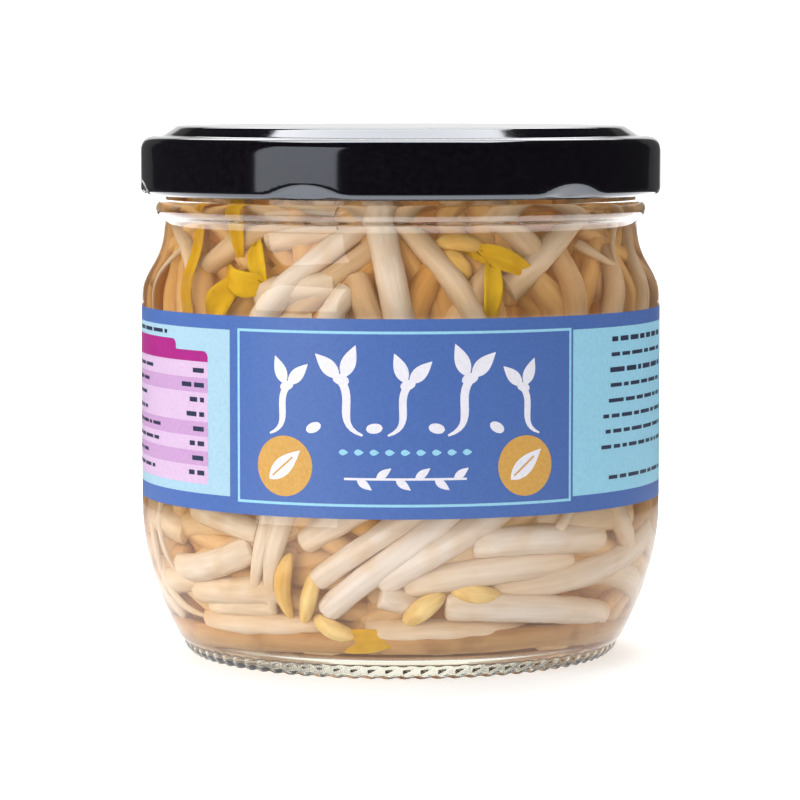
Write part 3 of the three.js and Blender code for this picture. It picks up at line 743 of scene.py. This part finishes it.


# palest, middle, brownest, blotches and the painted shade multiplied over those above the label;
# then how much it glows inside, how strong its painted glow is (standing in for light let through from
# behind), and its roughness
stemFlesh = moistTissue(
    "sproutStemBlanched", ("#DFD4D6", "#DAC9BE", "#CBA47C", "#D2B69C", "#EDE8DF"), 0.0, 0.08, 0.35)
# painted shade: the sprouts further in get a browner copy of the tissue
deepShadedFlesh = moistTissue(
    "sproutStemDeepShaded", ("#D6C0AA", "#CEA97C", "#C39256", "#C89E72", "#FFFDF2"), 0.0, 0.08, 0.45)
floorFlesh = moistTissue(
    "sproutStemSettled", ("#C0966C", "#B38552", "#A27140", "#9A6C40", "#FFFFFF"), 0.0, 0.02, 0.45)
seedFlesh = moistTissue(
    "seedHalfBlanched", ("#E9CE98", "#E2BF7C", "#CFA464", "#CF9F52", "#F2F2EE"), 0.25, 0.03, 0.4)
leafFlesh = moistTissue(
    "seedLeafYellow", ("#D9AF2A", "#CC9C20", "#B9841B", "#B67F1A", "#EEEFE4"), 0.2, 0.02, 0.35)

finishPiece(joinPieces("sproutStems", copies["stem"]), stemFlesh, "jar", "sprouts", "sprouts")
for name, parts, flesh, slot, smoothAngle in (
        ("sproutsFurtherIn", copies["deep"], deepShadedFlesh, "sprouts", 80),
        ("sproutsSettled", settled, floorFlesh, "sprouts", 80),
        ("sproutRoots", copies["root"], stemFlesh, "sprouts", 40),
        ("seedHalves", copies["half"], seedFlesh, "sprout_leaf", 40),
        ("seedLeaves", copies["leaf"], leafFlesh, "sprout_leaf", 40)):
    finishPiece(joinPieces(name, parts), flesh, "jar", slot, smoothAngle=smoothAngle)
print("sprouts", len(frontSprouts))


def packedHeart():
    # the close-packed middle of the tangle, a brown shadow between the sprouts
    levels = (5.6, 7, 9, 12, 16, 22, 32, 44, 56, 62, 68, 75)
    outline = [(radiusAt(spaceWall, z) - tangle["heartDepth"], z) for z in levels]
    outline = [(0, tangle["heartBottom"])] + outline + [(0, tangle["heartTop"])]
    piece = spinOutline("packedHeart", outline, 96)
    press(piece, swell)
    return piece


def swell(radius, azimuth, z):
    turn = radians(azimuth - 90)
    return radius * (0.03 * sin(turn * 17 + z * 0.7) + 0.02 * sin(turn * 41)), 0


def shadedTissue():
    # packed tissue deep in brine: matt, its brown a painted shade and its emission a painted glow
    material, tree, shader = startMaterial("sproutTissueShaded", {
        "Roughness": 0.5, "IOR": 1.06,
        "Emission Color": linearColour("#DDB080"), "Emission Strength": 0.16})
    blotch, colour = mottle(tree, 5, 4.0, (0.35, 0.65), ("#B8895C", "#D0AA80"))
    relief = addNode(tree, "Bump", {"Height": blotch, "Distance": 0.8 * mm, "Strength": 0.8})
    setInputs(shader, {"Base Color": colour, "Normal": relief})
    return material


finishPiece(packedHeart(), shadedTissue(), "jar", "sprouts")


# the lid

lid = {
    "bottom": 74.8,
    "skirtRadius": 42.4,
    "shoulderHeight": 84.2,
    "panelRadius": 36.6,
    "top": 85.9,
    "sheet": 0.6,
    "lugHalfWidth": 9.3,  # degrees
    "dentHeight": 2.4,
    "dentDepth": 0.75,
    "lugInnerRadius": 38.8,
    "steps": 240,
}


def lidOutline():
    low, skirt, shoulder = lid["bottom"], lid["skirtRadius"], lid["shoulderHeight"]
    panel, top, sheet = lid["panelRadius"], lid["top"], lid["sheet"]
    ceiling, wall = shoulder - sheet, skirt - sheet
    curl = arcPoints(*near(skirt, low, (-2.0, 0.25), (-1.6, 0.02), (-1.3, 0), (-1.0, 0)), 4)
    curl += arcPoints(*near(skirt, low, (-0.9, 0), (-0.35, 0.02), (0, 0.45), (0, 1.1)), 9)
    skirtRise = [(skirt, low + 0.3 * i) for i in range(5, 11)] + [(skirt, low + 5)]
    corner = arcPoints(*near(skirt, shoulder, (0, -2.6), (0, -0.7), (-0.9, 0), (-2.4, 0)), 10)
    rise = near(panel, shoulder, (2.5, 0), (2.2, 0.04), (1.95, 0.19), (1.8, 0.3))
    rise += near(panel, top, (0.5, -0.53), (0.35, -0.42), (0.08, -0.24), (-0.25, -0.08))
    panelTop = near(panel, top, (-0.9, 0), (-1.5, 0))
    panelTop += [(24, top), (12, top), (0, top), (0, top - sheet)]
    under = arcPoints(
        *near(panel, top - sheet, (-1.2, 0), (0, 0)), *near(panel, ceiling, (0.8, 0), (1.8, 0)), 6)
    inside = arcPoints(
        *near(skirt, ceiling, (-2.4, 0), (-1.4, 0)), *near(wall, shoulder, (0, -1), (0, -2.8)), 6)
    roll = [(wall, low + 4.8)] + near(skirt, low, (-0.9, 1.9), (-2.2, 1.5), (-2.35, 0.9))
    return curl + skirtRise + corner + rise + panelTop + under + inside + roll + [curl[0]]


def awayFromLug(azimuth):
    # a lug sits under each of the jar's ridges
    pitch = 360 / jar["ridges"]
    return (azimuth - jar["firstRidge"] + pitch / 2) % pitch - pitch / 2


def lug(radius, azimuth, z):
    # the rolled edge is pressed in to make the six lugs
    rolled = lid["skirtRadius"] - 3 < radius < lid["skirtRadius"] - 1.9
    if not rolled or z - lid["bottom"] > 2.2:
        return 0, 0
    ease = min(1, max(0, (lid["lugHalfWidth"] + 1.5 - abs(awayFromLug(azimuth))) / 2.5))
    return -ease * max(0, radius - lid["lugInnerRadius"]), 0


def lugDent(radius, azimuth, z):
    # the lugs are turned in from the rolled edge, which leaves a low arch outside
    height = z - lid["bottom"]
    arch = lid["dentHeight"] * (1 - (awayFromLug(azimuth) / lid["lugHalfWidth"]) ** 2)
    if radius < lid["skirtRadius"] - 1.2 or arch <= height:
        return 0, 0
    return -lid["dentDepth"] * min(1, (arch - height) / 1.6), 0


def lacqueredTinplate():
    # tinplate with a stoved black lacquer: hard even gloss with a slight orange peel; its gloss is
    # tinted faintly blue, a painted tint for the bluish light in its reflections
    material, tree, shader = startMaterial("tinplateBlackLacquer", {
        "IOR": 1.54, "Specular Tint": (0.83, 0.89, 1.0, 1.0)})
    where = addNode(tree, "TexCoord").outputs["Object"]
    colour = mottle(tree, 0.8, 4.0, (0.4, 0.8), ("#0A080C", "#151218"))[1]
    handling = addNode(tree, "TexNoise", {"Vector": where, "Scale": 1 / (14 * mm), "Detail": 2.0})
    peel = addNode(tree, "TexNoise", {"Vector": where, "Scale": 1 / (1.6 * mm), "Detail": 2.0})
    worn = addNode(tree, "MapRange", {0: handling, 3: 0.06, 4: 0.12})
    relief = addNode(tree, "Bump", {"Height": peel, "Distance": 0.01 * mm, "Strength": 0.4})
    setInputs(shader, {"Base Color": colour, "Roughness": worn, "Normal": relief})
    return material


lidShell = spinOutline("lidShell", lidOutline(), lid["steps"])
press(lidShell, lug)
press(lidShell, lugDent)
finishPiece(lidShell, lacqueredTinplate(), "lid", "lid_lacquer", "lid", smoothAngle=35)


def flowedCompound():
    # plastisol sealing compound, flowed in and stoved: matt and slightly rubbery
    material, tree, shader = startMaterial("plastisolFlowed", {"Roughness": 0.55, "IOR": 1.5})
    colour = mottle(tree, 2.5, 3.0, (0.3, 0.7), ("#D8D3C6", "#C9C2B1"))[1]
    setInputs(shader, {"Base Color": colour})
    return material


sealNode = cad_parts["lid_seal"]
sealNode.data.materials.clear()
sealNode.data.materials.append(flowedCompound())
print("lid")


# the label

label = {
    "bottom": 26.0,
    "top": 56.8,
    "radius": 42.33,
    "thickness": 0.02,
    "steps": 264,
    "inkStep": 0.015,  # each ink lies this far over the one below
    "cut": 1.0,  # a flat shape is bent round the jar every 1 mm
    "frame": (-26.9, 28.4, 28.1, 54.7),  # left, right, low, high
    "panelRows": (28.6, 54.6),
    "motifMiddle": 0.75,
    "motifPitch": 9.6,
    "seedlings": ((11.8, 1), (13.6, -1), (12.4, 1), (13.8, 1), (11.4, -1)),  # size, which way each sways
    "seedlingFoot": 38.9,
    "beanHeight": 40.0,
    "dividerHeight": 36.3,
    "sprigHeight": 32.2,
    "medallion": (19.3, 33.9, 4.7),  # out from the middle, height, radius
    "chart": (-66, -33.5, 30.1, 49.3),  # left, right, low, high
    "chartPitch": 2.3,
    "rulePitch": 2.42,
}


def labelOutline():
    low, high, outer = label["bottom"], label["top"], label["radius"]
    inner = outer - label["thickness"]
    return [(inner, low), (outer, low), (outer, high), (inner, high), (inner, low)]


def coatedPaper(name, *codes):
    # clay-coated paper, offset printed: even colour, satin, with a faint tooth
    material, tree, shader = startMaterial(name, {"Roughness": 0.36, "IOR": 1.5})
    grain, colour = mottle(tree, 0.5, 2.0, (0.35, 0.7), codes)
    tooth = addNode(tree, "Bump", {"Height": grain, "Distance": 0.008 * mm, "Strength": 0.3})
    setInputs(shader, {"Base Color": colour, "Normal": tooth})
    letLightIn(tree, shader, (0.6, 0.6, 0.64, 1))  # the little that paper lets through
    return material


labelPaper = spinOutline("labelPaper", labelOutline(), label["steps"])
paperBlue = coatedPaper("coatedPaperBlue", "#496BAF", "#4365AA")
finishPiece(labelPaper, paperBlue, "jar", "label_paper", "label")

inkShapes = {}


def printShape(ink, layer, path, halfWidth, fewest=1):
    # a strip along a path on the flat label (mm round the jar, mm high), bent round the jar
    stations = [path[0]]
    for (x0, z0), (x1, z1) in zip(path, path[1:]):
        pieces = max(fewest, ceil(abs(x1 - x0) / label["cut"]))
        for i in range(1, pieces + 1):
            stations.append((x0 + (x1 - x0) * i / pieces, z0 + (z1 - z0) * i / pieces))
    lengths = [0]
    for a, b in zip(stations, stations[1:]):
        lengths.append(lengths[-1] + dist(a, b))
    last = len(stations) - 1
    bpy.ops.mesh.primitive_grid_add(x_subdivisions=last, y_subdivisions=1, size=2)
    strip = bpy.context.object
    radius = label["radius"] + label["inkStep"] * layer
    for vertex in strip.data.vertices:
        station = round((vertex.co.x + 1) / 2 * last)
        x, z = stations[station]
        before, after = stations[max(0, station - 1)], stations[min(last, station + 1)]
        span = dist(before, after)
        dx, dz = (after[0] - before[0]) / span, (after[1] - before[1]) / span
        side = halfWidth(lengths[station] / lengths[-1]) * (1 if vertex.co.y > 0 else -1)
        vertex.co = place(radius, degrees((x - dz * side) / label["radius"]), z + dx * side) * mm
    inkShapes.setdefault(ink, []).append(strip)


def printBox(ink, layer, left, right, low, high, corner=0.0):
    # a filled rectangle; corner rounds its upper right corner
    if not corner:
        level = (low + high) / 2
        printShape(ink, layer, [(left, level), (right, level)], lambda t: (high - low) / 2)
        return
    printBox(ink, layer, left, right - corner, low, high)
    turns = [pi * i / 16 for i in range(9)]
    arc = [(right - corner * (1 - sin(turn)), corner * cos(turn)) for turn in turns]
    for (x0, z0), (x1, z1) in zip(arc, arc[1:]):
        printBox(ink, layer, x0, x1, low, high - corner + (z0 + z1) / 2)


def printLine(ink, layer, start, end, width):
    printShape(ink, layer, [start, end], lambda t: width / 2)


def printDisc(ink, layer, x, z, radius):
    path = [(x - radius * cos(pi * i / 24), z) for i in range(25)]
    printShape(ink, layer, path, lambda t: 2 * radius * sqrt(max(0, t - t * t)))


def printLeaf(ink, layer, foot, tip, width):
    # a pointed leaf, widest before its middle
    printShape(ink, layer, [foot, tip], lambda t: width / 2 * sin(pi * t ** 0.8) + 0.02, 12)


def printBean(ink, layer, x, z, length, lean):
    dx, dz = length / 2 * cos(lean), length / 2 * sin(lean)
    printShape(ink, layer, [(x - dx, z - dz), (x + dx, z + dz)],
               lambda t: 0.6 * length * sqrt(max(0, t - t * t)), 12)


def printSprout(ink, layer, x, z, size, side):
    # a seedling: a root that thins, a swaying stem, a seed and two leaves
    def spot(start, aside, up):
        return start[0] + aside * side * size, start[1] + up * size

    pulls = ((-0.22, 0), (0.12, 0.12), (-0.14, 0.4), (0.03, 0.62))
    stem = arcPoints(*[spot((x, z), *pull) for pull in pulls], 12)
    printShape(ink, layer, stem, lambda t: size * (0.012 + 0.036 * min(1, 2.2 * t)))
    crown = stem[-1]
    printBean(ink, layer, *spot(crown, 0, 0.01), 0.2 * size, 0.3 * side)
    for foot, tip in (((0.02, 0.03), (0.3, 0.3)), ((-0.02, 0.03), (-0.17, 0.4))):
        printLeaf(ink, layer, spot(crown, *foot), spot(crown, *tip), 0.17 * size)


def printRule(ink, layer, left, right, z, height, draw, fill):
    # a row of short plain dashes
    x = left
    while x < left + (right - left) * fill:
        end = min(right, x + draw(1.2, 4.4))
        printLine(ink, layer, (x, z), (end, z), height)
        x = end + 0.7


def printFrame(ink, layer, left, right, low, high, width):
    for z in (low, high):
        printLine(ink, layer, (left, z), (right, z), width)
    for x in (left, right):
        printBox(ink, layer, x - width / 2, x + width / 2, low - width / 2, high + width / 2)


# front panel
middle, pitch = label["motifMiddle"], label["motifPitch"]
printFrame("inkCyan", 1, *label["frame"], 0.42)
for i, (size, side) in enumerate(label["seedlings"]):
    printSprout("inkWhite", 1, middle + (i - 2) * pitch, label["seedlingFoot"], size, side)
for i in range(4):
    printBean("inkWhite", 1, middle + (i - 1.5) * pitch, label["beanHeight"], 2.6, 0.4 - 0.3 * i)
z = label["dividerHeight"]
for i in range(-4, 5):
    printLeaf("inkCyan", 1, (middle + i * 2.4 - 0.75, z), (middle + i * 2.4 + 0.75, z), 0.9)
z = label["sprigHeight"]
printLine("inkWhite", 1, (middle - 9.5, z), (middle + 9.5, z), 0.36)
for i in range(6):
    x = middle - 7.5 + i * 3.0
    printLeaf("inkWhite", 1, (x, z), (x + 2.3, z + (1.7 if i % 2 else -1.7)), 1.2)
out, z, radius = label["medallion"]
for x in (middle - out, middle + out):
    printDisc("inkGold", 1, x, z, radius)
    printLeaf("inkWhite", 2, (x - 2.6, z - 2.1), (x + 2.7, z + 2.5), 2.8)
    printLine("inkGold", 3, (x - 2.0, z - 1.5), (x + 1.4, z + 1.4), 0.28)

# left panel: a plain ruled table
ruleDraw = seededDraw(12)
left, right, low, high = label["chart"]
pitch = label["chartPitch"]
printBox("inkCyanPale", 1, left, right + 4.8, *label["panelRows"])
printBox("inkPinkLight", 2, left, right, low, high)
printBox("inkMagenta", 2, left, right, high, high + 1.7, 1.1)
printBox("inkMagenta", 2, left, right - 8.5, high + 1.6, high + 3.3, 1.1)
for row in range(8):
    z = high - 1.4 - row * pitch
    if row in (1, 4, 6):
        printBox("inkPink", 3, left, right, z - pitch / 2, z + pitch / 2)
    printRule("inkDark", 4, -64, -46, z, 0.55, ruleDraw, ruleDraw(0.4, 1))
    printRule("inkDark", 4, -38.5 + ruleDraw(-2, 1.5), -34.4, z, 0.75, ruleDraw, 1)
printRule("inkDark", 2, -64, -45, 53.6, 0.6, ruleDraw, 1)

# right panel: centred rules and an empty box
printBox("inkCyan", 1, 29.0, 66, *label["panelRows"])
for row in range(10):
    z = 52.7 - row * label["rulePitch"]
    reach = ruleDraw(9.5, 13.2)
    height = 0.78 if row in (0, 2) else 0.6
    if row != 8:
        printRule("inkDark", 2, 48.5 - reach, 48.5 + reach, z, height, ruleDraw, 1)
printFrame("inkDark", 2, 62.2, 65.2, 30.5, 36.0, 0.3)

# the back
printBox("inkCyan", 1, -128, -72, *label["panelRows"])
for row in range(10):
    printRule("inkDark", 2, -125.5, -75, 52.4 - row * 2.4, 0.6, ruleDraw, ruleDraw(0.7, 1))
printFrame("inkCyan", 1, 71, 127, *label["frame"][2:], 0.42)
for i in range(6):
    printSprout("inkWhite", 1, 99 + (i - 2.5) * 8.2, 34.5, 13.5 if i % 2 else 11, 1 if i % 2 else -1)
# one end of the paper lapped over the other
printBox("coatedPaperLap", 3, 131.6, 134.6, label["bottom"], label["top"])

inks = {
    "inkCyan": ("#98D1E9", "#90C9E1"),
    "inkCyanPale": ("#A5C9DB", "#9DC1D4"),
    "inkWhite": ("#E8E6EF", "#E0DEE8"),
    "inkGold": ("#D4A24F", "#CB9946"),
    "inkMagenta": ("#A91A81", "#A0167A"),
    "inkPinkLight": ("#D4B7D7", "#CCAFD0"),
    "inkPink": ("#C39AC7", "#BB92C0"),
    "inkDark": ("#242C48", "#2D3552"),
    "coatedPaperLap": ("#496BAF", "#4365AA"),
}
for ink, strips in inkShapes.items():
    finishPiece(joinPieces(ink, strips), coatedPaper(ink, *inks[ink]), "jar", "label_paper")
print("label", len(inkShapes), "inks")


# the table and the lamps

studio = {
    "tableFront": -500,
    "tableBack": 1250,
    "tableHalfWidth": 950,
    "sweepHeight": 620,
    "sweepRadius": 300,
    "nearGlow": 0.36,  # of the table by the jar
    "seenGlow": 0.1,  # more of it for the camera
    "throughGlow": 0.58,  # and as seen through the glass
    "farGlow": 0.78,  # of its back and sides
    "glowReach": (0.25, 1.1),  # m from the jar, where one starts and ends to turn into the other
    "glossGlow": 2.3,  # of the table before the jar, as gloss shows it
    "glossBehind": 1.15,  # and behind it
    "glossReach": (0.1, 0.3),  # m round the jar, where that starts and ends to fade
    "glossFar": 0.12,
    "backCard": (0.34, 0.93),  # m to each side, glow
    "lamps": [
        # name, place in mm, size in mm, power in W, whether it lights things, whether gloss shows it
        ("keySoftbox", (-860, -830, 570), (820, 1130), 8.2, True, True),
        ("hairSoftbox", (-30, 315, 1090), (760, 390), 8.8, True, False),
        ("overheadCard", (-35, 475, 1240), (855, 482), 13.5, False, True),
        ("rimCard", (0, 1020, 810), (670, 480), 6.0, False, True),
        ("frontFill", (-350, -1300, 230), (900, 440), 2.7, True, False),
        ("rightFill", (1000, 350, 300), (500, 560), 2.4, True, False),
        ("leftFill", (-1000, 350, 300), (500, 560), 4.2, True, False),
    ],
    "lowCard": (61, 180, 3.4),  # height and width in mm, glow: only the lid's rolled edge shows it
    "worldSeen": "#FBFBFB",
    "worldDiffuse": 0.3,
    "worldGlossy": 0.03,
}


def layTable():
    # an opal acrylic shooting table that curves up at its back
    front, back, half = studio["tableFront"], studio["tableBack"], studio["tableHalfWidth"]
    bend = studio["sweepRadius"]
    profile = [(0, front, 0)]
    for turn in [pi * i / 32 for i in range(17)]:
        profile.append((0, back - bend * (1 - sin(turn)), bend * (1 - cos(turn))))
    table = startPoint("opalTable", (-half, front, 0))
    extrudeAlong([(-half, front, 0), (half, front, 0)])
    extrudeAlong(profile + [(0, back, studio["sweepHeight"])])
    bpy.ops.object.mode_set(mode="OBJECT")
    bpy.ops.object.shade_smooth()
    return table


def opalAcrylic():
    # opal acrylic lit from below: matt white; gloss shows a pool by the jar and a back card
    material, tree, shader = startMaterial("acrylicOpalLit", {
        "Roughness": 0.9, "Specular IOR Level": 0.0, "Emission Color": (1, 1, 1, 1)})
    where = addNode(tree, "TexCoord").outputs["Object"]
    colour = mottle(tree, 40, 3.0, (0.3, 0.7), ("#F4F4F3", "#F0F0EF"))[1]
    away = addNode(tree, "VectorMath", {0: where}, operation="LENGTH").outputs["Value"]
    nearEnd, farStart = studio["glowReach"]
    glow = addNode(tree, "MapRange", {
        0: away, 1: nearEnd, 2: farStart, 3: studio["nearGlow"], 4: studio["farGlow"]})
    rays = addNode(tree, "LightPath")
    for ray, more in (("Is Camera Ray", "seenGlow"), ("Is Transmission Ray", "throughGlow")):
        glow = addNode(tree, "Math", {
            0: rays.outputs[ray], 1: studio[more], 2: glow}, operation="MULTIPLY_ADD")
    setInputs(shader, {"Base Color": colour, "Emission Strength": glow})
    parts = addNode(tree, "SeparateXYZ", {0: where})
    aside = addNode(tree, "Math", {0: parts.outputs["X"]}, operation="ABSOLUTE")
    ahead = addNode(tree, "MapRange", {
        0: parts.outputs["Y"], 1: -0.09, 2: -0.05, 3: studio["glossGlow"], 4: studio["glossBehind"]})
    poolEdge, poolEnd = studio["glossReach"]
    pool = addNode(tree, "MapRange", {
        0: away, 1: poolEdge, 2: poolEnd, 3: ahead, 4: studio["glossFar"]})
    cardHalf, cardGlow = studio["backCard"]
    card = addNode(tree, "MapRange", {
        0: aside, 1: cardHalf - 0.02, 2: cardHalf, 3: cardGlow, 4: 0.0})
    behind = addNode(tree, "Math", {0: parts.outputs["Y"], 1: 0.75}, operation="GREATER_THAN")
    gloss = addNode(tree, "Math", {0: card, 1: behind, 2: pool}, operation="MULTIPLY_ADD")
    shown = addNode(tree, "Emission", {"Strength": gloss})
    mix = addNode(tree, "MixShader", {0: rays.outputs["Is Glossy Ray"], 1: shader, 2: shown})
    setInputs(tree.nodes["Material Output"], {"Surface": mix})
    return material


table = layTable()
table.data.materials.append(opalAcrylic())


def hangLamp(name, shape, where, size, power, lights, inGloss):
    bpy.ops.object.light_add(type="AREA", location=[v * mm for v in where])
    lamp = bpy.context.object
    lamp.name = name
    lamp.data.shape = shape
    lamp.data.size = size[0] * mm
    lamp.data.size_y = size[1] * mm
    lamp.data.energy = power
    lamp.visible_diffuse = lights
    lamp.visible_transmission = lights
    lamp.visible_glossy = inGloss
    return lamp


for name, where, size, power, lights, inGloss in studio["lamps"]:
    lamp = hangLamp(name, "RECTANGLE", where, size, power, lights, inGloss)
    level = where[2] if where[2] < 900 else 80  # the side lamps stand upright
    aim = Vector((0, 0, level * mm)) - lamp.location
    lamp.rotation_euler = aim.to_track_quat("-Z", "Y").to_euler()
height, width, glow = studio["lowCard"]
power = glow * pi ** 2 * (width * mm / 2) ** 2
lamp = hangLamp("lowCard", "DISK", (0, 0, height), (width, width), power, False, True)
lamp.rotation_euler.x = pi

world = bpy.data.worlds.new("softStudio")
bpy.context.scene.world = world
world.use_nodes = True
tree = world.node_tree
path = addNode(tree, "LightPath")
seen = addNode(tree, "Math", {
    0: path.outputs["Is Camera Ray"], 1: path.outputs["Is Transmission Ray"]}, operation="MAXIMUM")
soft = addNode(tree, "MapRange", {
    0: path.outputs["Is Glossy Ray"], 3: studio["worldDiffuse"], 4: studio["worldGlossy"]})
strength = addNode(tree, "MapRange", {0: seen, 3: soft, 4: 1.0})
setInputs(tree.nodes["Background"], {"Color": linearColour(studio["worldSeen"]), "Strength": strength})
print("studio")
